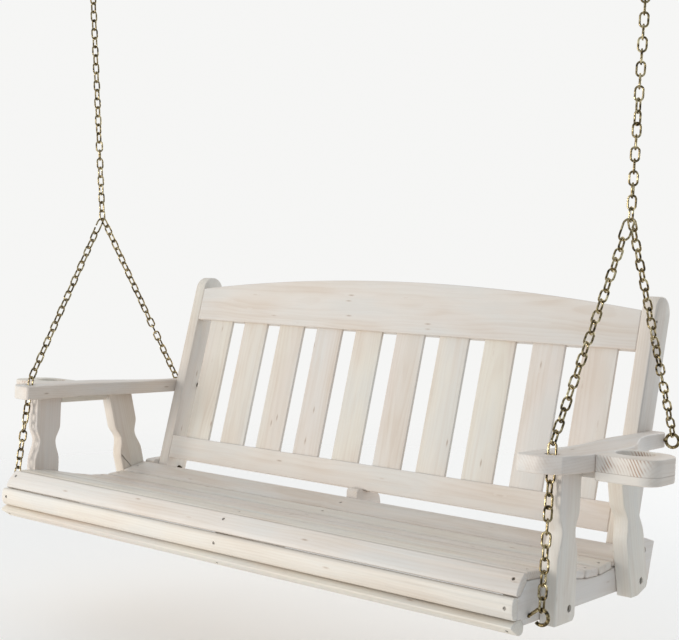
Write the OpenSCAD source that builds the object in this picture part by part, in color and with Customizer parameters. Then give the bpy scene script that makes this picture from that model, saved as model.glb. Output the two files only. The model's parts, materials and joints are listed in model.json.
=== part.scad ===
// Hanging porch swing: a slatted wooden bench on two chain bridles below two ceiling screw eyes.
// Millimetres. The origin is on the ceiling, midway between the two screw eyes.
// +Y is towards the back of the bench and +Z is up. Left and right are as seen from in front: right is +X.
// Bench pieces are laid out in the bench's own level frame, which then leans back as it hangs.

/* [Bench] */
// Length of the seat boards, over the side stringers
seat_length = 1676; // [1420:1:1830]
// Thickness of the framing lumber
lumber = 38; // [35:1:40]
// Lean of the whole hanging bench
bench_tilt = 4; // [2:0.5:5]
// Distance from the bench's reference line forward to the chains' pivots
pivot_forward = 79; // [70:1:90]
// Height of the chains' lower pivots above the bench's reference line
pivot_height = 794; // [780:1:820]

/* [Seat] */
// Number of narrow seat slats
narrow_slats = 6; // [6:1:6]
// Width of a narrow seat slat
slat_w = 61; // [58:1:63]
// Distance from one narrow slat to the next
slat_step = 67; // [66:1:67]
// Thickness of the seat slats
slat_t = 19; // [17:1:20]
// Height of the seat at its front crown
seat_front_z = 39; // [36:1:40]
// Height of the seat at its lowest line
seat_dip_z = -1; // [-3:1:2]
// Height of the seat at its back edge
seat_back_z = 26; // [22:1:27]

/* [Back] */
// Lean of the back from square to the seat
back_lean = 13.5; // [12:0.5:14]
// Number of back slats
back_slats = 10; // [10:1:10]
// Width of a back slat
back_slat_w = 96; // [80:1:100]
// Thickness of a back slat
back_slat_t = 10; // [10:1:14]
// Thickness of the two rails
rail_t = 32; // [30:1:34]
// Height of the bottom rail
bottom_rail_h = 72; // [68:1:76]
// Height of the top rail at its ends
top_rail_h = 103; // [95:1:110]
// Rise of the top rail's arch at its middle
arch_rise = 49; // [40:1:55]
// Depth of the back posts
back_post_d = 89; // [85:1:90]

/* [Arms] */
// Height of the arms' top face
arm_top = 289; // [286:1:292]
// Fall of the arms towards the front, in degrees
arm_fall = 0.6; // [0:0.1:1]
// Width of an arm post, front to back
arm_post_w = 89; // [86:1:89]
// How far each side of a post's neck is cut in
neck_cut = 15; // [8:1:18]
// Rake of the rear arm posts
rear_post_rake = 16.5; // [15:0.5:17]
// Diameter of the cup recess
cup_d = 84; // [76:1:88]
// Depth of the cup recess
cup_depth = 19; // [12:1:24]
// Diameter of the hole that the chain passes through
chain_hole_d = 32; // [31:1:33]

/* [Chain] */
// Chain wire diameter
wire = 5; // [4.5:0.1:5]
// Inside length of a link
link_inside = 26.7; // [26.7:0.1:27]
// Inside width of a link
link_width = 13; // [13:0.1:14]
// Number of links in each main chain
main_links = 27; // [23:2:41]
// How far each main chain spreads outwards
main_spread = 34; // [20:1:50]

/* [Hardware] */
// Rod diameter of the bench's eye bolts
eye_rod = 8; // [7.5:0.1:8.5]
// Rod diameter of the ceiling screw eyes
ceiling_rod = 9.5; // [8:0.5:10]
// Length of the screw eyes' threaded shanks
ceiling_shank = 75; // [50:1:100]
// Diameter of the frame bolts
bolt_d = 8; // [6:1:8]

/* [Hidden] */

wood = [0.87, 0.84, 0.78];
brass = [0.50, 0.42, 0.24];
round_fn = 48;
wire_fn = 40;
fit = 0.2;

// Layout across the bench: the stringers, with the back posts inside and the arm posts outside.
half_l = seat_length / 2;
stringer_in = half_l - lumber;
post_in = stringer_in - lumber;
arm_post_out = half_l + fit + lumber;
board_screw_x = half_l - lumber / 2;
screw_xs = [-board_screw_x, 0, board_screw_x];

// Layout along the seat.
slat_front_y = -443;
dip_y = -118;
crown_y = -440;
back_edge_y = 40;
rear_slat_back_y = 45;
stringer_bottom = -72;
nose_y = -477.7;
nose_z = -56.8;
nose = [
    [-449.7, stringer_bottom], [-449.7, -70.2], [-461.8, nose_z], [nose_y, nose_z],
    [nose_y, -8.6], [-467.8, -8.4]
];

// Layout of the back, in the frame whose X-Z plane is the rails' front face.
back_foot_y = 67;
post_foot_s = -46;
post_top_s = 606;
bottom_rail_s = 47;
top_rail_s = 502;
slat_set_back = 9;
slat_let_in = 9;
arch_r = (post_in * post_in + arch_rise * arch_rise) / (2 * arch_rise);
back_slat_gap = (2 * post_in - back_slats * back_slat_w) / (back_slats + 1);

// Wood screws: the pockets over their heads, and the middle of each roll board's face as
// [y, z, angle of the face's outward normal from +Z].
pocket_d = 8.4;
pocket_depth = 1.6;
screw_head_h = 1.2;
roll_faces = [[-468.5, 25.25, 49.4], [-499.75, -31, 89], [-485.5, -80.5, 122.2]];

// Layout of the arms and their posts.
arm_bottom = arm_top - lumber;
arm_front_y = -455;
arm_back_y = 214;
arm_in = stringer_in + fit;
arm_bow = 17;
arm_out = half_l + 79;
arm_front_out = half_l + 57;
arm_tail_out = half_l + 5;
arm_cut_w = 36;
arm_cut_d = 30;
arm_cut_r = 40;
arm_nose_r = 10;
tail_corner_r = 12;
front_post_y = -387;
post_bottom = -80;
post_chamfer = 9;
neck_top = 160;
neck_mid = 115;
neck_low = 55;
neck_steps = [for (z = [neck_low:7:neck_mid - 1]) z];
neck_rise = [for (z = [neck_mid:5:neck_top]) z];
rear_post_mid_y = -18;
rear_post_mid_z = 85;
block_front_y = -325;
block_back_y = -180;
block_out = arm_out + 133;
block_bottom = 233;
block_front_r = 42;
block_back_r = 50;
tongue_front_y = front_post_y + arm_post_w + fit;
tongue_back_y = -122;
cup_x = half_l + 128;
cup_y = -236;

// Fastener places in the bench frame, as [y, z].
front_bolt = [-326, -50];
rear_bolt = [32, -46];
bolt_bore_d = 17;
bolt_bore_depth = 10;
back_bolts = [[92, -24], [128, 6]];
rear_eye_y = 200;
rear_eye_z = 271;
front_eye_y = -433;
front_eye_z = -51;
eye_r = 12.3 + eye_rod / 2;
eye_rise = 40;
eye_sweep = 262;
eye_shank_drop = 3;
front_eye_x = half_l + 30;
rear_eye_x = arm_tail_out + eye_r + eye_rod / 2 + 1;
bend_x = half_l + 18;
bend_y = -399;
bend_z = arm_top + 15;

// Chains, in the part's frame.
connector_inside = 51;
connector_width = 20;
connector_gap = 8;
cradle_gap = 0.1;
cradle_r = link_width / 2 - wire / 2 - cradle_gap;
cradle_angle = 41.5;
pivot_x = half_l + 42;
ring_r = 12 + ceiling_rod / 2;
ring_drop = ring_r + ceiling_rod / 2 + 11;
collar_d = 24;
neck_d = ceiling_rod + 1;
collar_h = 4;
main_run = main_links * (link_inside - 0.15);
main_fall = sqrt(main_run * main_run - main_spread * main_spread);
hang_z = -ring_drop - ring_r + ceiling_rod / 2;
pivot_z = hang_z - main_fall;
bench_z = pivot_z - pivot_height;

// Turns a point of the level bench frame into the part's frame.
function hung(p) = [
    p.x,
    pivot_forward + p.y * cos(bench_tilt) + p.z * sin(bench_tilt),
    bench_z - p.y * sin(bench_tilt) + p.z * cos(bench_tilt)
];
function unit(v) = v / norm(v);
function clamp01(t) = max(0, min(1, t));
function smooth(t) = clamp01(t) * clamp01(t) * (3 - 2 * clamp01(t));
function odd_up(n) = 2 * ceil((n - 1) / 2) + 1;
function arc(c, r, from, to, n = 8) = [
    for (i = [0:n]) c + r * [cos(from + (to - from) * i / n), sin(from + (to - from) * i / n)]
];

// The seat's curve and the corners of the slats that follow it.
function seat_z(y) = y < dip_y
    ? seat_dip_z + (seat_front_z - seat_dip_z) * (1 - cos(180 * (dip_y - y) / (dip_y - crown_y))) / 2
    : seat_dip_z + (seat_back_z - seat_dip_z) * (1 - cos(90 * (y - dip_y) / (back_edge_y - dip_y)));
function slat_front(i) = slat_front_y + i * slat_step;
function slat_back(i) = i < narrow_slats ? slat_front(i) + slat_w : rear_slat_back_y;
function slat_slope(i) = atan2(
    seat_z(slat_back(i)) - seat_z(slat_front(i)), slat_back(i) - slat_front(i)
);
function slat_len(i) = norm([
    slat_back(i) - slat_front(i), seat_z(slat_back(i)) - seat_z(slat_front(i))
]);
function under_slat(i, along) = [
    slat_front(i) + along * cos(slat_slope(i)) + (slat_t + fit) * sin(slat_slope(i)),
    seat_z(slat_front(i)) + along * sin(slat_slope(i)) - (slat_t + fit) * cos(slat_slope(i))
];
function stringer_seat() = [
    for (i = [0:narrow_slats]) for (along = [0, slat_len(i)]) under_slat(i, along)
];

// Frames.
module bench() {
    translate([0, pivot_forward, bench_z]) rotate([-bench_tilt, 0, 0]) children();
}
module back_frame() {
    translate([0, back_foot_y, 0]) rotate([-back_lean, 0, 0]) children();
}
module side(s) {
    mirror([s < 0 ? 1 : 0, 0, 0]) children();
}
// A board whose end profile is given in bench Y and Z, from x0 to x1.
module profile(points, x0, x1) {
    translate([x0, 0, 0]) rotate([90, 0, 90]) linear_extrude(x1 - x0) polygon(points);
}
// A rod along +X from a point.
module rod_x(x, y, z, d, len) {
    translate([x, y, z]) rotate([0, 90, 0]) cylinder(d = d, h = len, $fn = round_fn);
}

// Chain parts. A link stands in the X-Z plane with its long axis on Z.
module half_ring(r, d, angle = 180) {
    rotate([90, 0, 0]) rotate_extrude(angle = angle, $fn = round_fn)
        translate([r, 0]) circle(d = d, $fn = wire_fn);
}
module link(inside, width) {
    r = (width + wire) / 2;
    leg = (inside - width) / 2;
    for (end = [0, 1]) mirror([0, 0, end]) translate([0, 0, leg]) half_ring(r, wire);
    for (s = [-1, 1]) translate([s * r, 0, -leg]) cylinder(d = wire, h = 2 * leg, $fn = wire_fn);
}
// Places a link at p with its long axis along the unit vector d, turned about that axis.
module along(p, d, turn = 0) {
    translate(p) rotate([asin(-d.y), atan2(d.x, d.z), 0]) rotate([0, 0, turn]) children();
}
// A run of links from one contact point up to the other. The links are turned by 90 degrees in
// turn, and the run twists by a further quarter turn between the links twist_from and twist_to.
module chain_run(low, high, count, first_turn, twist_from, twist_to, lean = 0) {
    d = unit(high - low);
    step = norm(high - low) / count;
    for (i = [0:count - 1]) {
        quarter = 90 * smooth((i - twist_from) / (twist_to - twist_from));
        eased = lean * clamp01(min(i, count - 1 - i) / 3);
        along(low + d * step * (i + 0.5), d, first_turn + 90 * (i % 2) + quarter + eased)
            link(link_inside, link_width);
    }
}

// Where the lower chains start: two wires side by side in the cradle of the lowest main link.
cradle_center = [pivot_x, 0, pivot_z + link_width / 2];
function cradle_wire(s) = cradle_center + cradle_r * [0, s * sin(cradle_angle), -cos(cradle_angle)];
bend = hung([bend_x, bend_y, bend_z]);
front_dir = unit(cradle_wire(-1) - bend);
front_top = cradle_wire(-1) - front_dir * (wire / 2 + connector_inside);
front_links = odd_up(norm(front_top - bend) / link_inside);
front_eye_wire = hung([front_eye_x, front_eye_y, front_eye_z + eye_r]);
drop_dir = unit(bend - front_eye_wire);
drop_low = front_eye_wire - drop_dir * eye_rod / 2;
drop_links = odd_up(norm(bend - drop_low) / link_inside);
rear_eye_wire = hung([rear_eye_x, rear_eye_y, rear_eye_z + eye_r]);
rear_dir = unit(cradle_wire(1) - rear_eye_wire);
rear_low = rear_eye_wire - rear_dir * eye_rod / 2;
rear_top = cradle_wire(1) - rear_dir * wire / 2;
rear_links = odd_up(norm(rear_top - rear_low) / link_inside);

module ceiling_eye(s) {
    color(brass) side(s) translate([pivot_x + main_spread, 0, 0]) {
        translate([0, 0, -ring_drop]) rotate([0, 90, 0])
            rotate_extrude($fn = round_fn) translate([ring_r, 0]) circle(d = ceiling_rod, $fn = wire_fn);
        translate([0, 0, ring_r - ring_drop]) cylinder(d = neck_d, h = ring_drop - ring_r, $fn = wire_fn);
        translate([0, 0, -collar_h]) cylinder(d = collar_d, h = collar_h, $fn = round_fn);
        cylinder(d = ceiling_rod, h = ceiling_shank, $fn = wire_fn);
    }
}
module main_chain(s) {
    low = [pivot_x, 0, pivot_z];
    high = [pivot_x + main_spread, 0, hang_z];
    color(brass) side(s) chain_run(low, high, main_links, 90, 5, 11, s > 0 ? 22 : 8);
}
module connector_link(s) {
    r = (connector_width + wire) / 2;
    leg = (connector_inside - connector_width) / 2;
    stub = leg - connector_gap / 2;
    mid = cradle_wire(-1) - front_dir * (wire + connector_inside) / 2;
    color(brass) side(s) along(mid, front_dir) {
        for (end = [0, 1]) mirror([0, 0, end]) {
            translate([0, 0, leg]) half_ring(r, wire);
            translate([r, 0, connector_gap / 2]) cylinder(d = wire, h = stub, $fn = wire_fn);
        }
        translate([-r, 0, -leg]) cylinder(d = wire, h = 2 * leg, $fn = wire_fn);
    }
}
module front_chain(s) {
    color(brass) side(s) {
        chain_run(bend, front_top, front_links, 90, 100, 101);
        chain_run(drop_low, bend, drop_links, 90, 4, 9);
    }
}
module rear_chain(s) {
    color(brass) side(s) chain_run(rear_low, rear_top, rear_links, 90, 3, 12);
}
// An open eye: the rod leaves the stringer, rises to the top of the ring and curls round it.
// The rising part is a little thinner, and the bend a little thicker, so that they join cleanly.
module front_eye_bolt(s) {
    slant = (eye_r * cos(eye_rise) + eye_shank_drop) / sin(eye_rise);
    bend_at = front_eye_x - eye_r * sin(eye_rise) - slant * cos(eye_rise);
    color(brass) side(s) bench() translate([0, front_eye_y, front_eye_z]) {
        translate([front_eye_x, 0, 0]) rotate([0, eye_sweep - 90 - eye_rise, 0])
            half_ring(eye_r, eye_rod, eye_sweep);
        translate([bend_at, 0, -eye_shank_drop]) rotate([0, 90 - eye_rise, 0])
            cylinder(d = eye_rod - 2 * fit, h = slant + 2, $fn = wire_fn);
        translate([bend_at, 0, -eye_shank_drop]) sphere(d = eye_rod + 2 * fit, $fn = round_fn);
        rod_x(stringer_in - 10, 0, -eye_shank_drop, eye_rod, bend_at - stringer_in + 10);
    }
}
module rear_eye_bolt(s) {
    color(brass) side(s) bench() {
        translate([rear_eye_x, rear_eye_y, rear_eye_z]) rotate([90, 0, 0]) rotate_extrude($fn = round_fn)
            translate([eye_r, 0]) circle(d = eye_rod, $fn = wire_fn);
        rod_x(post_in - 10, rear_eye_y, rear_eye_z, eye_rod, rear_eye_x - eye_r - post_in + 10);
    }
}
// A hexagon nut on a washer, standing off a face towards -X, on a bolt along X.
module nut(x, y, z, d) {
    translate([x, y, z]) rotate([0, -90, 0]) difference() {
        union() {
            cylinder(d = 2.2 * d, h = 1.5, $fn = round_fn);
            translate([0, 0, 1.5]) cylinder(d = 1.9 * d, h = 0.8 * d, $fn = 6);
        }
        translate([0, 0, -1]) cylinder(d = d + fit, h = 2 * d + 2, $fn = wire_fn);
    }
}
module eye_bolt_nuts() {
    color(brass) for (s = [-1, 1]) side(s) bench() {
        nut(stringer_in, front_eye_y, front_eye_z - eye_shank_drop, eye_rod);
        nut(post_in, rear_eye_y, rear_eye_z, eye_rod);
    }
}

// Stringers: they carry the seat, and their tails carry the back.
module side_stringer(s) {
    tail = [[52, 30], [62, 34], [130, 37], [185, 22], [158, stringer_bottom]];
    color(wood) side(s) bench() difference() {
        profile(concat(stringer_seat(), tail, nose), stringer_in, half_l);
        rod_x(stringer_in - 1, front_eye_y, front_eye_z - eye_shank_drop, eye_rod + fit, lumber + 2);
        for (b = concat([front_bolt, rear_bolt], back_bolts))
            rod_x(stringer_in - 1, b[0], b[1], bolt_d + fit, lumber + 2);
        for (b = back_bolts) rod_x(half_l - bolt_bore_depth, b[0], b[1], bolt_bore_d, bolt_bore_depth + 1);
    }
}
module stringer_center() {
    foot = back_foot_y + bottom_rail_s * sin(back_lean);
    foot_z = bottom_rail_s * cos(back_lean);
    tail = [
        [50, 44], [56, 50], [foot - 2, 50], [foot - 1, foot_z - 0.4],
        [foot + rail_t * cos(back_lean) + 1, foot_z - 0.4 - (rail_t + 2) * sin(back_lean)],
        [foot + rail_t * cos(back_lean) + 2.5, 43], [137, 43], [158, 23], [164, 4], [158, stringer_bottom]
    ];
    color(wood) bench() profile(concat(stringer_seat(), tail, nose), -lumber / 2, lumber / 2);
}

// Rolled front edge: three moulded boards round the stringers' noses.
module roll_board_top() {
    color(wood) bench() difference() {
        profile([
            [-445, 20], [-445, 28], [-449, 34.5], [-455, 38], [-464, 30.5], [-473, 20],
            [-481, 9], [-485.5, 0], [-485.5, -5], [-482, -7.8], [-468.2, -7.8]
        ], -half_l, half_l);
        roll_screw_places(0) screw_pocket();
    }
}
module roll_board_front() {
    color(wood) bench() difference() {
        profile([
            [-478, -8.8], [-494, -8.8], [-498, -12], [-500, -22], [-499.5, -40],
            [-496, -50], [-490, -55.5], [-478, -56.4]
        ], -half_l, half_l);
        roll_screw_places(1) screw_pocket();
    }
}
module roll_board_bottom() {
    color(wood) bench() difference() {
        profile([
            [-462, -57], [-482, -57], [-497, -64.5], [-501, -68.5], [-499, -72], [-472, -89],
            [-466, -90.5], [-457, -90], [-451.5, -86], [-450, -81], [-450, -70.5]
        ], -half_l, half_l);
        roll_screw_places(2) screw_pocket();
    }
}

// Wood screws: a sunk head on a shank, pointing down from the surface at the origin.
module screw_pocket() {
    translate([0, 0, -pocket_depth]) cylinder(d = pocket_d, h = pocket_depth + 2, $fn = round_fn);
}
module wood_screw(len) {
    translate([0, 0, -pocket_depth - screw_head_h]) cylinder(d = 8, h = screw_head_h, $fn = round_fn);
    translate([0, 0, -pocket_depth - len]) cylinder(d = 4, h = len - screw_head_h, $fn = wire_fn);
}
module slat_screw_places(i) {
    for (x = screw_xs) translate([x, slat_front(i), seat_z(slat_front(i))])
        rotate([slat_slope(i), 0, 0]) translate([0, slat_len(i) / 2, 0]) children();
}
module roll_screw_places(k) {
    for (x = screw_xs) translate([x, roll_faces[k][0], roll_faces[k][1]])
        rotate([roll_faces[k][2], 0, 0]) children();
}
module seat_screws() {
    color(brass) bench() for (i = [0:narrow_slats]) slat_screw_places(i) wood_screw(45);
}
module roll_screws() {
    color(brass) bench() for (k = [0:2]) roll_screw_places(k) wood_screw(38);
}

// Seat slats, each a flat board on the stringers' curve.
module seat_board(i) {
    color(wood) bench() difference() {
        translate([-half_l, slat_front(i), seat_z(slat_front(i))]) rotate([slat_slope(i), 0, 0])
            translate([0, 0, -slat_t]) cube([2 * half_l, slat_len(i), slat_t]);
        slat_screw_places(i) screw_pocket();
    }
}

// Back: posts with round tops, two rails and slats let into them.
module back_post(s) {
    r = back_post_d / 2;
    color(wood) side(s) bench() difference() {
        back_frame() difference() {
            union() {
                translate([post_in, 0, post_foot_s]) cube([lumber, back_post_d, post_top_s - post_foot_s]);
                rod_x(post_in, r, post_top_s, back_post_d, lumber);
            }
            rail_screw_places() screw_pocket();
        }
        for (b = back_bolts) rod_x(post_in - 1, b[0], b[1], bolt_d + fit, lumber + 2);
        rod_x(post_in - 1, rear_eye_y, rear_eye_z, eye_rod + fit, lumber + 2);
    }
}
module rail_screw_places() {
    places = [
        bottom_rail_s + 18, bottom_rail_s + bottom_rail_h - 18,
        top_rail_s + 25, top_rail_s + top_rail_h - 25
    ];
    for (z = places) translate([stringer_in, rail_t / 2, z]) rotate([0, 90, 0]) children();
}
module slat_pockets(z0, z1) {
    for (i = [1:back_slats]) translate([back_slat_x(i) - fit, slat_set_back - fit, z0])
        cube([back_slat_w + 2 * fit, back_slat_t + 2 * fit, z1 - z0]);
}
function back_slat_x(i) = -post_in + i * back_slat_gap + (i - 1) * back_slat_w;
module bottom_rail() {
    top = bottom_rail_s + bottom_rail_h;
    color(wood) bench() back_frame() difference() {
        translate([-post_in, 0, bottom_rail_s]) cube([2 * post_in, rail_t, bottom_rail_h]);
        slat_pockets(top - slat_let_in - fit, top + 1);
    }
}
module top_rail() {
    color(wood) bench() back_frame() difference() {
        translate([0, rail_t, top_rail_s]) rotate([90, 0, 0]) linear_extrude(rail_t) intersection() {
            translate([-post_in, 0]) square([2 * post_in, top_rail_h + arch_rise + 1]);
            translate([0, top_rail_h + arch_rise - arch_r]) circle(r = arch_r, $fn = 720);
        }
        slat_pockets(top_rail_s - 1, top_rail_s + slat_let_in + fit);
    }
}
module back_slat(i) {
    low = bottom_rail_s + bottom_rail_h - slat_let_in;
    color(wood) bench() back_frame() translate([back_slat_x(i), slat_set_back, low])
        cube([back_slat_w, back_slat_t, top_rail_s + slat_let_in - low]);
}
module rail_screws() {
    color(brass) for (s = [-1, 1]) side(s) bench() back_frame() rail_screw_places() wood_screw(64);
}

// Arms, seen from above: a bowed inner edge and a tail that narrows to the back post.
function arm_bow_x(y) = arm_in + arm_bow * pow(sin(180 * (y + 434) / 414), 2);
// The front corner on the arm's outside is cut at a slant, which starts in a curve.
arm_cut_turn = atan(arm_cut_d / arm_cut_w);
arm_cut_x = arm_front_out - arm_cut_w - arm_cut_r * tan(arm_cut_turn / 2);
function arm_outline() = concat(
    arc([arm_cut_x, arm_front_y + arm_cut_r], arm_cut_r, -90, arm_cut_turn - 90),
    [[arm_front_out, arm_front_y + arm_cut_d]],
    [[arm_out, block_front_y - 14], [arm_out, block_back_y + 6]],
    [for (t = [1:9]) [arm_out + (arm_tail_out - arm_out) * smooth(t / 9), block_back_y + 12 + t * 31]],
    arc([arm_tail_out - tail_corner_r, arm_back_y - tail_corner_r], tail_corner_r, 12, 90, 4),
    [[arm_in, arm_back_y]],
    [for (y = [-20:-20:-420]) [arm_bow_x(y), y]],
    arc([arm_in + arm_nose_r, arm_front_y + arm_nose_r], arm_nose_r, 180, 270)
);
// The arms fall towards the front, turned about their rear eye bolts.
module arm_slope() {
    translate([0, rear_eye_y, rear_eye_z]) rotate([arm_fall, 0, 0])
        translate([0, -rear_eye_y, -rear_eye_z]) children();
}
module arm(s) {
    color(wood) side(s) bench() arm_slope() difference() {
        translate([0, 0, arm_bottom]) linear_extrude(lumber) polygon(arm_outline());
        translate([bend_x, bend_y - 3, arm_bottom - 1])
            cylinder(d = chain_hole_d, h = lumber + 2, $fn = round_fn);
        rod_x(arm_in - 1, rear_eye_y, rear_eye_z, eye_rod + fit, arm_tail_out - arm_in + 2);
    }
}
module cup_holder(s) {
    in = arm_out + fit;
    outline = concat(
        [[in, block_front_y]],
        arc([block_out - block_front_r, block_front_y + block_front_r], block_front_r, -90, 0),
        arc([block_out - block_back_r, block_back_y - block_back_r], block_back_r, 0, 90),
        [[in, block_back_y]]
    );
    color(wood) side(s) bench() arm_slope() difference() {
        union() {
            translate([0, 0, block_bottom]) linear_extrude(arm_top - block_bottom) polygon(outline);
            translate([half_l, tongue_front_y, block_bottom])
                cube([in - half_l, tongue_back_y - tongue_front_y, arm_bottom - fit - block_bottom]);
        }
        translate([cup_x, cup_y, arm_top - cup_depth]) cylinder(d = cup_d, h = cup_depth + 1, $fn = 96);
        cup_holder_screw_places() screw_pocket();
    }
}
module cup_holder_screw_places() {
    for (y = [tongue_front_y + 32, tongue_back_y - 32])
        translate([half_l + 45, y, block_bottom]) rotate([180, 0, 0]) children();
}
module cup_holder_screws() {
    color(brass) for (s = [-1, 1]) side(s) bench() arm_slope() cup_holder_screw_places() wood_screw(44);
}

// Arm posts: half the width of a post at a height on its own centre line.
function neck(z) = neck_cut * (
    z > neck_mid
        ? smooth((neck_top - z) / (neck_top - neck_mid))
        : smooth((z - neck_low) / (neck_mid - neck_low))
);
function post_half(z) = arm_post_w / 2 - neck(z);
// Outline in local Y and Z: foot with its rear corner cut, up the rear, and down the front.
function post_outline(low, high) = concat(
    [[-arm_post_w / 2, low], [arm_post_w / 2 - post_chamfer, low], [arm_post_w / 2, low + post_chamfer]],
    [for (z = concat(neck_steps, neck_rise)) [post_half(z), z]],
    [[arm_post_w / 2, high], [-arm_post_w / 2, high]],
    [for (k = [len(neck_rise) - 1:-1:0]) [-post_half(neck_rise[k]), neck_rise[k]]],
    [for (k = [len(neck_steps) - 1:-1:0]) [-post_half(neck_steps[k]), neck_steps[k]]]
);
module front_arm_post(s) {
    color(wood) side(s) bench() difference() {
        translate([0, front_post_y + arm_post_w / 2, 0])
            profile(post_outline(post_bottom, arm_bottom), half_l + fit, arm_post_out);
        arm_slope() translate([half_l, arm_front_y, arm_bottom]) cube([lumber + 1, arm_post_w * 2, lumber]);
        arm_bolt_hole(front_bolt);
    }
}
module rear_arm_post(s) {
    color(wood) side(s) bench() difference() {
        intersection() {
            translate([0, rear_post_mid_y, rear_post_mid_z]) rotate([rear_post_rake, 0, 0])
                translate([0, 0, -rear_post_mid_z])
                profile(post_outline(post_bottom - 4, arm_top), half_l + fit, arm_post_out);
            translate([half_l, -300, post_bottom]) cube([100, 600, arm_top - post_bottom]);
            arm_slope() translate([half_l, -300, arm_bottom - 400]) cube([100, 600, 400]);
        }
        arm_bolt_hole(rear_bolt);
    }
}
module arm_bolt_hole(b) {
    rod_x(half_l - 1, b[0], b[1], bolt_d + fit, lumber + 2);
    rod_x(arm_post_out - bolt_bore_depth, b[0], b[1], bolt_bore_d, bolt_bore_depth + 1);
}
// A hexagon bolt along X from a nut's face to its head, which sits at the bottom of a counterbore.
module hex_bolt(nut_x, head_x, y, z) {
    rod_x(nut_x - 9, y, z, bolt_d, head_x - nut_x + 9);
    translate([head_x, y, z]) rotate([0, 90, 0]) cylinder(d = 1.85 * bolt_d, h = 5.3, $fn = 6);
}
module arm_post_bolts() {
    color(brass) for (s = [-1, 1]) side(s) bench() for (b = [front_bolt, rear_bolt])
        hex_bolt(stringer_in, arm_post_out - bolt_bore_depth, b[0], b[1]);
}
module arm_post_nuts() {
    color(brass) for (s = [-1, 1]) side(s) bench() for (b = [front_bolt, rear_bolt])
        nut(stringer_in, b[0], b[1], bolt_d);
}
module back_post_bolts() {
    color(brass) for (s = [-1, 1]) side(s) bench() for (b = back_bolts)
        hex_bolt(post_in, half_l - bolt_bore_depth, b[0], b[1]);
}
module back_post_nuts() {
    color(brass) for (s = [-1, 1]) side(s) bench() for (b = back_bolts)
        nut(post_in, b[0], b[1], bolt_d);
}
// Two screws down through each arm into each post, their heads under plugged holes.
module arm_screws() {
    x = half_l + lumber / 2;
    color(brass) for (s = [-1, 1]) side(s) bench() arm_slope() {
        for (y = [front_post_y + 22, front_post_y + 67, -88, -43])
            translate([x, y, arm_top - 5]) wood_screw(70);
    }
}

ceiling_eye(-1);  // ceiling_eye_left
ceiling_eye(1);  // ceiling_eye_right
main_chain(-1);  // main_chain_left
main_chain(1);  // main_chain_right
connector_link(-1);  // connector_link_left
connector_link(1);  // connector_link_right
front_chain(-1);  // front_chain_left
front_chain(1);  // front_chain_right
rear_chain(-1);  // rear_chain_left
rear_chain(1);  // rear_chain_right
front_eye_bolt(-1);  // front_eye_bolt_left
front_eye_bolt(1);  // front_eye_bolt_right
rear_eye_bolt(-1);  // rear_eye_bolt_left
rear_eye_bolt(1);  // rear_eye_bolt_right
eye_bolt_nuts();
side_stringer(-1);  // stringer_left
stringer_center();
side_stringer(1);  // stringer_right
roll_board_top();
roll_board_front();
roll_board_bottom();
seat_board(0);  // seat_slat_1
seat_board(1);  // seat_slat_2
seat_board(2);  // seat_slat_3
seat_board(3);  // seat_slat_4
seat_board(4);  // seat_slat_5
seat_board(5);  // seat_slat_6
seat_board(narrow_slats);  // rear_seat_slat
back_post(-1);  // back_post_left
back_post(1);  // back_post_right
bottom_rail();
top_rail();
back_slat(1);  // back_slat_1
back_slat(2);  // back_slat_2
back_slat(3);  // back_slat_3
back_slat(4);  // back_slat_4
back_slat(5);  // back_slat_5
back_slat(6);  // back_slat_6
back_slat(7);  // back_slat_7
back_slat(8);  // back_slat_8
back_slat(9);  // back_slat_9
back_slat(10);  // back_slat_10
arm(-1);  // arm_left
arm(1);  // arm_right
cup_holder(-1);  // cup_holder_left
cup_holder(1);  // cup_holder_right
front_arm_post(-1);  // front_arm_post_left
front_arm_post(1);  // front_arm_post_right
rear_arm_post(-1);  // rear_arm_post_left
rear_arm_post(1);  // rear_arm_post_right
arm_post_bolts();
arm_post_nuts();
back_post_bolts();
back_post_nuts();
seat_screws();
roll_screws();
rail_screws();
cup_holder_screws();
arm_screws();
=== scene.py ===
"""Looks of a slatted wooden porch swing on chains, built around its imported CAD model. Metres."""

import json
import math
import random

import bmesh
import bpy
import numpy as np
from mathutils import Matrix, Vector


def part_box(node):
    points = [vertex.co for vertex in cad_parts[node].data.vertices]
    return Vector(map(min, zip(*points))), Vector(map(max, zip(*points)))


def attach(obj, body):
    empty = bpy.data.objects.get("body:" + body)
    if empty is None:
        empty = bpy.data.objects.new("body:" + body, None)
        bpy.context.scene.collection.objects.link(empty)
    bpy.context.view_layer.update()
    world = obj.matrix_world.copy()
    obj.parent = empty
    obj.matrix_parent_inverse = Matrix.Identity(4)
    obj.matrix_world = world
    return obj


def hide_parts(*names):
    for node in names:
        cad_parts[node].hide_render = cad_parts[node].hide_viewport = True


SEAT_SLATS = 6
BACK_SLATS = 10

# The bench hangs leant back by BENCH_TILT. Its back and its rear arm posts lean from its own upright.
BENCH_TILT = math.radians(4)
BACK_LEAN = math.radians(13.5)
REAR_POST_RAKE = math.radians(16.5)

# Eased edges of the boards: edges no longer than EASE_MIN_EDGE stay sharp, and so do screw pockets.
SLIGHT_EASE = 0.0024
FIRM_EASE = 0.0034
ROUND_EASE = 0.0055
EASE_MIN_EDGE = 0.0017
EASE_ANGLE = math.radians(35)
EASE_SEGMENTS = 3

# Points this close are one, and faces that turn less than this from each other are one flat face.
MERGE_DISTANCE = 1e-5
FLAT_ANGLE = math.radians(0.4)

# How raw the boards' ends are: 0 is all stain, 1 is all raw wood, and above GLUED_END a glue line shows.
GLUED_END = 0.5
DRESSED_END = 0.10
ARM_END = 0.12
CUT_END = 0.25
RAW_END = 0.85

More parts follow.
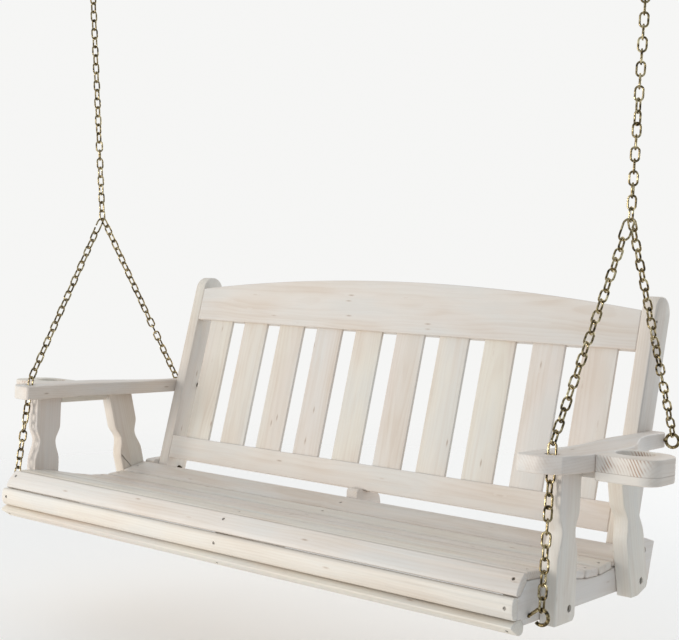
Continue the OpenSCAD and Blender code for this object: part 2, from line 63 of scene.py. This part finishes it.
# Each board is cut from its own place in the grain: how far along it, aside of the pith, and above it.
GRAIN_LENGTH = 40
PITH_ASIDE = 0.035
PITH_BELOW = (0.03, 0.10)

# Growth rings and saw lines in each metre, and how deep in the board its glue line lies.
RINGS = 150.0
SAW_LINES = 165.0
GLUE_LINE = 0.038

# The floor, and the shares of its radius between which it fades out.
SEAT_ABOVE_FLOOR = 0.43
FLOOR_RADIUS = 5.0
FLOOR_SIDES = 96
FLOOR_FADE = (0.16, 0.86)

# The room is cool towards COOL_SIDE. Both lights are soft discs aimed at the bench.
COOL_SIDE = (0.80, -0.60, 0.0)
KEY_LIGHT = {"place": (-2.0, -5.0, -0.9), "size": 1.6, "watts": 132, "color": (1.0, 0.965, 0.91)}
BACK_LIGHT = {"place": (0.8, 4.4, 0.2), "size": 2.6, "watts": 40, "color": (0.97, 0.98, 1.0)}

# The camera's place, turn and lens.
CAMERA_PLACE = (2.075, -2.566, -0.7720)
CAMERA_YAW = math.radians(38.18)
CAMERA_PITCH = math.radians(-4.43)
CAMERA_ROLL = math.radians(0.25)
LENS_MM = 65.4786
SENSOR_MM = 36
CAMERA_REACH = 200


def rotated_up(angle):
    """Unit vector that leans back from +Z by an angle."""
    return Vector((0, math.sin(angle), math.cos(angle)))


ACROSS = Vector((1, 0, 0))
BENCH_UP = rotated_up(BENCH_TILT)
BENCH_BACK = Vector((0, math.cos(BENCH_TILT), -math.sin(BENCH_TILT)))
BACK_UP = rotated_up(BENCH_TILT + BACK_LEAN)
POST_UP = rotated_up(BENCH_TILT - REAR_POST_RAKE)


def rgb(r, g, b):
    return (r, g, b, 1.0)


# Linear colours: the stain, the wood that shows through it, its raw ends, and the room.
CREAM = rgb(0.735, 0.672, 0.615)
IVORY = rgb(0.765, 0.708, 0.608)
ROSE = rgb(0.725, 0.630, 0.560)
PALE_GREY = rgb(0.690, 0.675, 0.640)
STREAK = rgb(0.640, 0.545, 0.455)
LATE_WOOD = rgb(0.530, 0.405, 0.300)
HONEY = rgb(0.640, 0.480, 0.345)
PORE = rgb(0.480, 0.390, 0.310)
KNOT_RIM = rgb(0.470, 0.330, 0.230)
KNOT = rgb(0.290, 0.185, 0.120)
RAW_WOOD = rgb(0.770, 0.705, 0.630)
SAW_MARK = rgb(0.430, 0.255, 0.165)
GLUE = rgb(0.300, 0.220, 0.160)
FLOOR_WHITE = rgb(0.99, 0.97, 0.945)
ROOM_WHITE = rgb(0.92, 0.92, 0.91)
ROOM_COOL = rgb(0.49, 0.56, 0.63)


# ---------------------------------------------------------------- shader helpers
class Tree:
    """Short calls for building the nodes of a material or of the world."""

    def __init__(self, material):
        material.use_nodes = True
        self.nodes = material.node_tree.nodes
        self.links = material.node_tree.links
        self.nodes.clear()

    def add(self, kind, **settings):
        node = self.nodes.new("ShaderNode" + kind)
        for key, value in settings.items():
            setattr(node, key, value)
        return node

    def put(self, socket, value):
        if isinstance(value, bpy.types.NodeSocket):
            self.links.new(value, socket)
        else:
            socket.default_value = value

    def math(self, operation, a, b=0.0, c=0.0):
        node = self.add("Math", operation=operation)
        for socket, value in zip(node.inputs, (a, b, c)):
            self.put(socket, value)
        return node.outputs[0]

    def attribute(self, name, output="Vector"):
        return self.add("Attribute", attribute_name=name).outputs[output]

    def stretch(self, vector, scale):
        node = self.add("Mapping")
        self.put(node.inputs["Vector"], vector)
        node.inputs["Scale"].default_value = scale
        return node.outputs[0]

    def channel(self, color, index):
        node = self.add("SeparateColor")
        self.put(node.inputs[0], color)
        return node.outputs[index]

    def dot(self, vector, other):
        node = self.add("VectorMath", operation="DOT_PRODUCT")
        self.put(node.inputs[0], vector)
        self.put(node.inputs[1], other)
        return node.outputs["Value"]

    def length(self, vector):
        node = self.add("VectorMath", operation="LENGTH")
        self.put(node.inputs[0], vector)
        return node.outputs["Value"]

    def noise(self, vector, scale=1.0, detail=2.0, roughness=0.5):
        node = self.add("TexNoise")
        self.put(node.inputs["Vector"], vector)
        node.inputs["Scale"].default_value = scale
        node.inputs["Detail"].default_value = detail
        node.inputs["Roughness"].default_value = roughness
        return node.outputs["Fac"]

    def ease(self, value, low, high, to_low=0.0, to_high=1.0):
        node = self.add("MapRange", interpolation_type="SMOOTHSTEP", clamp=True)
        for socket, setting in zip(node.inputs, (value, low, high, to_low, to_high)):
            self.put(socket, setting)
        return node.outputs[0]

    def mix(self, factor, a, b):
        node = self.add("Mix", data_type="RGBA")
        self.put(node.inputs["Factor"], factor)
        for socket, value in zip((node.inputs[6], node.inputs[7]), (a, b)):
            self.put(socket, value)
        return node.outputs[2]

    def ramp(self, factor, stops):
        node = self.add("ValToRGB")
        self.put(node.inputs[0], factor)
        points = node.color_ramp.elements
        while len(points) < len(stops):
            points.new(1.0)
        for point, (place, color) in zip(points, stops):
            point.position = place
            point.color = color
        return node.outputs[0]

    def bump(self, height, strength, distance):
        node = self.add("Bump")
        node.inputs["Strength"].default_value = strength
        node.inputs["Distance"].default_value = distance
        self.put(node.inputs["Height"], height)
        return node.outputs[0]

    def finish(self, **inputs):
        shader = self.add("BsdfPrincipled")
        for key, value in inputs.items():
            self.put(shader.inputs[key.replace("_", " ")], value)
        self.put(self.add("OutputMaterial").inputs[0], shader.outputs[0])


# ---------------------------------------------------------------- materials
def knots(t, grain):
    """The bend of the grain, the rim and the heart of each knot, in a few cells of a stretched pattern."""
    cells = t.add("TexVoronoi", feature="F1")
    t.put(cells.inputs["Vector"], t.stretch(grain, (2.1, 9.0, 9.0)))
    distance = cells.outputs["Distance"]
    pick = t.ease(t.channel(cells.outputs["Color"], 0), 0.74, 0.76)
    bend = t.math("MULTIPLY", t.ease(distance, 0.30, 0.02), pick)
    rim = t.math("MULTIPLY", t.ease(distance, 0.17, 0.09), pick)
    knot = t.math("MULTIPLY", t.ease(distance, 0.105, 0.045), pick)
    return bend, rim, knot


def growth_rings(t, grain, bend):
    """Late wood, by distance from the pith, which wanders along the board and bends round the knots."""
    wander = t.noise(t.stretch(grain, (1.6, 5.0, 5.0)), detail=3.0)
    radius = t.length(t.stretch(grain, (0.0, 1.0, 1.0)))
    radius = t.math("MULTIPLY_ADD", wander, 0.045, radius)
    radius = t.math("MULTIPLY_ADD", bend, 0.016, radius)
    ring = t.math("FRACT", t.math("MULTIPLY", radius, RINGS))
    return t.math("MULTIPLY", t.ease(ring, 0.25, 0.86), t.ease(ring, 1.0, 0.90))


def saw_lines(t, grain, depth):
    """Slanting, slightly curved saw lines on the board that lies over the glue line."""
    bow = t.noise(t.stretch(grain, (8.0, 12.0, 12.0)), detail=1.0)
    slant = t.dot(grain, (0.0, 0.84, -0.54))
    line = t.math("FRACT", t.math("MULTIPLY", t.math("MULTIPLY_ADD", bow, 0.016, slant), SAW_LINES))
    cut = t.math("MULTIPLY", t.ease(line, 0.30, 0.55), t.ease(line, 0.98, 0.72))
    return t.math("MULTIPLY", cut, t.ease(depth, GLUE_LINE + 0.0005, GLUE_LINE - 0.0005))


def stained_wood():
    """Softwood under an off-white semi-solid stain. Each board has "grain", metres along, across and
    through it, "axis", the way its grain runs, "depth", metres through it from its face, "tone", its own
    shade, and "sawn", how raw its ends are."""
    material = bpy.data.materials.new("stained_wood")
    t = Tree(material)
    grain = t.attribute("grain")
    depth = t.attribute("depth", "Fac")
    sawn = t.attribute("sawn", "Fac")
    facing = t.dot(t.add("TexCoord").outputs["Normal"], t.attribute("axis"))
    end = t.math("MULTIPLY", t.ease(t.math("ABSOLUTE", facing), 0.62, 0.93), sawn)
    bend, rim, knot = knots(t, grain)
    late = growth_rings(t, grain, bend)
    cut = saw_lines(t, grain, depth)

    # Fibres, streaks, and blotches where the stain is thin.
    fibre = t.noise(t.stretch(grain, (7.0, 620.0, 620.0)), detail=4.0, roughness=0.62)
    streak = t.noise(t.stretch(grain, (1.3, 55.0, 55.0)), detail=3.0, roughness=0.55)
    blotch = t.noise(t.stretch(grain, (3.0, 11.0, 11.0)), detail=3.0)
    cloud = t.noise(t.stretch(grain, (1.7, 6.0, 6.0)))
    patchiness = t.ease(blotch, 0.46, 0.74)

    # The face: the stain's own shades, then what shows through it, from the softest mark to the darkest.
    color = t.mix(t.attribute("tone", "Fac"), CREAM, IVORY)
    color = t.mix(t.ease(cloud, 0.46, 0.64, 0.0, 0.55), color, ROSE)
    color = t.mix(t.ease(blotch, 0.52, 0.34, 0.0, 0.45), color, PALE_GREY)
    color = t.mix(t.ease(streak, 0.48, 0.68, 0.0, 0.30), color, STREAK)
    color = t.mix(t.math("MULTIPLY", late, t.math("MULTIPLY_ADD", patchiness, 0.15, 0.07)), color, LATE_WOOD)
    color = t.mix(t.math("MULTIPLY", patchiness, 0.26), color, HONEY)
    color = t.mix(t.ease(fibre, 0.52, 0.74, 0.0, 0.20), color, PORE)
    color = t.mix(t.math("MULTIPLY", rim, 0.30), color, KNOT_RIM)
    color = t.mix(t.math("MULTIPLY", knot, 0.50), color, KNOT)

    # The ends: raw wood with saw lines where the stain took, and the glue line of a doubled board.
    patchy = t.ease(t.noise(t.stretch(grain, (9.0, 22.0, 22.0))), 0.40, 0.60, 0.12, 1.0)
    raw = t.mix(t.math("MULTIPLY", cut, patchy), RAW_WOOD, SAW_MARK)
    color = t.mix(end, color, raw)
    glued = t.ease(t.math("ABSOLUTE", t.math("SUBTRACT", depth, GLUE_LINE)), 0.0011, 0.0003)
    glued = t.math("MULTIPLY", glued, t.math("GREATER_THAN", sawn, GLUED_END))
    color = t.mix(t.math("MULTIPLY", glued, 0.5), color, GLUE)

    rough = t.math("MULTIPLY_ADD", fibre, 0.26, t.math("MULTIPLY_ADD", patchiness, 0.08, 0.36))
    height = t.math("MULTIPLY_ADD", fibre, -0.8, t.math("MULTIPLY", late, 0.35))
    height = t.math("MULTIPLY_ADD", knot, 0.5, height)
    height = t.math("MULTIPLY_ADD", t.math("MULTIPLY", cut, end), -0.9, height)
    t.finish(
        Base_Color=color, Roughness=rough, Normal=t.bump(height, 0.30, 0.0005),
        Specular_IOR_Level=0.42, Coat_Weight=0.06, Coat_Roughness=0.35,
    )
    return material


def antique_brass(name, dark, plate, rubbed_plate_and_highlight, rough):
    """Plated steel in noise patches from near-black through plate to bright plate: partly patina and rubbed
    wear, partly painted dark reflection and painted highlight.
    """
    material = bpy.data.materials.new(name)
    t = Tree(material)
    place = t.add("TexCoord").outputs["Object"]
    cloud = t.noise(place, scale=95.0, detail=4.0, roughness=0.6)
    speck = t.noise(place, scale=900.0, detail=3.0, roughness=0.6)
    patchiness = t.math("MULTIPLY_ADD", speck, 0.35, t.math("MULTIPLY", cloud, 0.75))
    # Painted dark reflection and painted highlight: the ramp puts near-black and bright patches into the
    # metal's own colour, beside its patina and wear.
    color = t.ramp(patchiness, [(0.44, dark), (0.55, plate), (0.68, rubbed_plate_and_highlight)])
    roughness = t.ease(patchiness, 0.36, 0.72, rough + 0.16, rough)
    t.finish(Base_Color=color, Metallic=1.0, Roughness=roughness, Normal=t.bump(patchiness, 0.22, 0.0003))
    return material


# ---------------------------------------------------------------- wood pieces
def clean_copy(node):
    """A node's mesh as a bmesh with its flat faces whole."""
    bm = bmesh.new()
    bm.from_mesh(frame["nodes"][node].data)
    bmesh.ops.remove_doubles(bm, verts=bm.verts, dist=MERGE_DISTANCE)
    bmesh.ops.dissolve_limit(bm, angle_limit=FLAT_ANGLE, verts=bm.verts, edges=bm.edges)
    return bm


def eased_board(bm, name, ease):
    """A new object: the board with its long sharp edges rounded over and its faces shaded flat."""
    weight = bm.edges.layers.float.new("bevel_weight_edge")
    for face in bm.faces:
        face.smooth = True
    for edge in bm.edges:
        sharp = edge.is_manifold and edge.calc_face_angle(0.0) > EASE_ANGLE
        if sharp and edge.calc_length() > EASE_MIN_EDGE:
            edge[weight] = 1.0
        elif sharp:
            edge.smooth = False
    mesh = bpy.data.meshes.new(name)
    bm.to_mesh(mesh)
    bm.free()
    piece = bpy.data.objects.new(name, mesh)
    bpy.context.scene.collection.objects.link(piece)
    bevel = piece.modifiers.new("ease", "BEVEL")
    bevel.limit_method = "WEIGHT"
    bevel.width = ease
    bevel.segments = EASE_SEGMENTS
    bevel.use_clamp_overlap = False
    bevel.harden_normals = True
    graph = bpy.context.evaluated_depsgraph_get()
    final = bpy.data.meshes.new_from_object(piece.evaluated_get(graph))
    final.name = name
    piece.modifiers.clear()
    piece.data = final
    return piece


def add_grain(piece, along, across, sawn, seed):
    """Stores on a board what the stained wood reads."""
    rng = random.Random(seed)
    mesh = piece.data
    turn = np.array((along, across, along.cross(across)))
    points = np.array([v.co for v in mesh.vertices])
    middle = (points.min(0) + points.max(0)) / 2
    place = (rng.uniform(0, GRAIN_LENGTH), rng.uniform(-PITH_ASIDE, PITH_ASIDE), rng.uniform(*PITH_BELOW))
    grain = (points - middle) @ turn.T + np.array(place)
    vectors = {"grain": grain, "axis": np.tile(np.array(along), (len(points), 1))}
    for name, values in vectors.items():
        layer = mesh.attributes.new(name, "FLOAT_VECTOR", "POINT")
        layer.data.foreach_set("vector", values.astype(np.float32).ravel())
    numbers = {"depth": grain[:, 2] - grain[:, 2].min(), "tone": rng.random(), "sawn": sawn}
    for name, value in numbers.items():
        layer = mesh.attributes.new(name, "FLOAT", "POINT")
        layer.data.foreach_set("value", np.full(len(points), value, np.float32))


def board(node, along, across, ease, sawn=CUT_END):
    """A wooden node's visible piece, with its grain running along one direction and its width across it."""
    piece = eased_board(clean_copy(node), node + "_board", ease)
    add_grain(piece, along, across, sawn, node)
    piece.data.materials.clear()
    piece.data.materials.append(WOOD)
    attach(piece, "bench")
    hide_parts(node)
    return piece


def bench_boards():
    """Every wooden node's piece, with the way its grain runs, its width, its eased edges and its ends."""
    for i in range(SEAT_SLATS):
        board("seat_slat_%d" % (i + 1), ACROSS, BENCH_BACK, ROUND_EASE)
    board("rear_seat_slat", ACROSS, BENCH_BACK, ROUND_EASE)
    for node in ("roll_board_top", "roll_board_front", "roll_board_bottom"):
        board(node, ACROSS, BENCH_BACK, SLIGHT_EASE, DRESSED_END)
    for node in ("bottom_rail", "top_rail"):
        board(node, ACROSS, BACK_UP, FIRM_EASE)
    for i in range(BACK_SLATS):
        board("back_slat_%d" % (i + 1), BACK_UP, ACROSS, SLIGHT_EASE)
    for node in ("stringer_left", "stringer_center", "stringer_right"):
        board(node, BENCH_BACK, BENCH_UP, SLIGHT_EASE)
    for end in ("left", "right"):
        board("back_post_" + end, BACK_UP, BACK_UP.cross(ACROSS), FIRM_EASE)
        board("arm_" + end, BENCH_BACK, ACROSS, FIRM_EASE, ARM_END)
        board("cup_holder_" + end, BENCH_BACK, ACROSS, FIRM_EASE, RAW_END)
        board("front_arm_post_" + end, BENCH_UP, BENCH_BACK, FIRM_EASE)
        board("rear_arm_post_" + end, POST_UP, POST_UP.cross(ACROSS), FIRM_EASE)


# ---------------------------------------------------------------- hardware
def finish_hardware():
    """The chains, eyes, bolts and screws keep their CAD shapes and get their plate, with painted highlight
    and painted dark reflection in the chain brass and painted recess shade in the darker bolts and screws.
    """
    for name, node in frame["nodes"].items():
        if name in WOODEN:
            continue
        if "screws" in name:
            material = SCREW_METAL
        elif "bolts" in name or "nuts" in name:
            material = BOLT_METAL
        else:
            material = CHAIN_METAL
        node.data.materials.clear()
        node.data.materials.append(material)


# ---------------------------------------------------------------- room, light and camera
def make_floor(level):
    """A pale round floor that fades out into the room."""
    bpy.ops.mesh.primitive_circle_add(
        vertices=FLOOR_SIDES, radius=FLOOR_RADIUS, fill_type="NGON", location=(0, 0, level))
    floor = bpy.context.object
    floor.name = "floor"
    material = bpy.data.materials.new("pale_floor")
    t = Tree(material)
    out = t.length(t.add("TexCoord").outputs["Object"])
    shader = t.add("BsdfPrincipled")
    shader.inputs["Base Color"].default_value = FLOOR_WHITE
    shader.inputs["Roughness"].default_value = 0.9
    both = t.add("MixShader")
    t.put(both.inputs[0], t.ease(out, FLOOR_RADIUS * FLOOR_FADE[0], FLOOR_RADIUS * FLOOR_FADE[1]))
    t.put(both.inputs[1], shader.outputs[0])
    t.put(both.inputs[2], t.add("BsdfTransparent").outputs[0])
    t.put(t.add("OutputMaterial").inputs[0], both.outputs[0])
    floor.data.materials.append(material)


def soft_light(name, target, place, size, watts, color):
    light = bpy.data.lights.new(name, "AREA")
    light.shape = "DISK"
    light.size = size
    light.energy = watts
    light.color = color
    obj = bpy.data.objects.new(name, light)
    obj.location = place
    obj.rotation_euler = (target - obj.location).to_track_quat("-Z", "Y").to_euler()
    bpy.context.scene.collection.objects.link(obj)


def make_studio(center):
    """A white room, cooler towards one side, with a low key light in front and a weaker one behind."""
    scene = bpy.context.scene
    scene.view_settings.view_transform = "Standard"
    scene.world = bpy.data.worlds.new("pale_room")
    t = Tree(scene.world)
    cool = t.ease(t.dot(t.add("TexCoord").outputs["Generated"], COOL_SIDE), -0.45, 0.55)
    background = t.add("Background")
    t.put(background.inputs["Color"], t.mix(cool, ROOM_WHITE, ROOM_COOL))
    t.put(t.add("OutputWorld").inputs["Surface"], background.outputs[0])
    soft_light("key", center, **KEY_LIGHT)
    soft_light("back", center, **BACK_LIGHT)


def make_camera():
    data = bpy.data.cameras.new("camera")
    data.sensor_fit = "HORIZONTAL"
    data.sensor_width = SENSOR_MM
    data.lens = LENS_MM
    data.clip_end = CAMERA_REACH
    camera = bpy.data.objects.new("camera", data)
    bpy.context.scene.collection.objects.link(camera)
    turn = Matrix.Rotation(CAMERA_YAW, 4, "Z")
    tip = Matrix.Rotation(math.pi / 2 + CAMERA_PITCH, 4, "X")
    roll = Matrix.Rotation(CAMERA_ROLL, 4, "Z")
    camera.matrix_world = Matrix.Translation(CAMERA_PLACE) @ turn @ tip @ roll
    bpy.context.scene.camera = camera


# ---------------------------------------------------------------- build
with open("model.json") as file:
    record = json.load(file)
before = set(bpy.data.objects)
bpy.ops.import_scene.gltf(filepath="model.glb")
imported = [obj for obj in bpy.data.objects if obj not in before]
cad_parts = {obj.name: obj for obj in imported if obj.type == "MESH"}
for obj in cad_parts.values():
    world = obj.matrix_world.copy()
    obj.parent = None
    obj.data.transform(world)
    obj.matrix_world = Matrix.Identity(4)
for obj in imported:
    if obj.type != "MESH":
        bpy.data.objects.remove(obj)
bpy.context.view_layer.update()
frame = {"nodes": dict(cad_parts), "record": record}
make_camera()

WOODEN = {p["node"] for p in frame["record"]["subparts"] if p["material_slot"] == "painted_wood"}
WOOD = stained_wood()
# The chain's near-black patches are partly painted dark reflection, its bright plate partly painted
# highlight.
CHAIN_METAL = antique_brass(
    "chain_brass", rgb(0.014, 0.011, 0.008), rgb(0.24, 0.175, 0.080), rgb(0.80, 0.68, 0.42), 0.20)
# Bolts and screws are darker than their plate alone: partly their own dark plating, partly painted shade of
# the counterbores and screw pockets they sit in.
BOLT_METAL = antique_brass(
    "dark_zinc_and_painted_shade", rgb(0.020, 0.015, 0.010), rgb(0.090, 0.066, 0.036), rgb(0.20, 0.155, 0.090), 0.36)
SCREW_METAL = antique_brass(
    "dark_screws_and_painted_shade", rgb(0.02, 0.016, 0.012), rgb(0.085, 0.066, 0.042), rgb(0.22, 0.17, 0.10), 0.38)

bench_boards()
finish_hardware()

seat_low, seat_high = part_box("seat_slat_3")
rail_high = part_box("top_rail")[1]
make_floor(seat_high.z - SEAT_ABOVE_FLOOR)
make_studio((seat_low + rail_high) / 2)
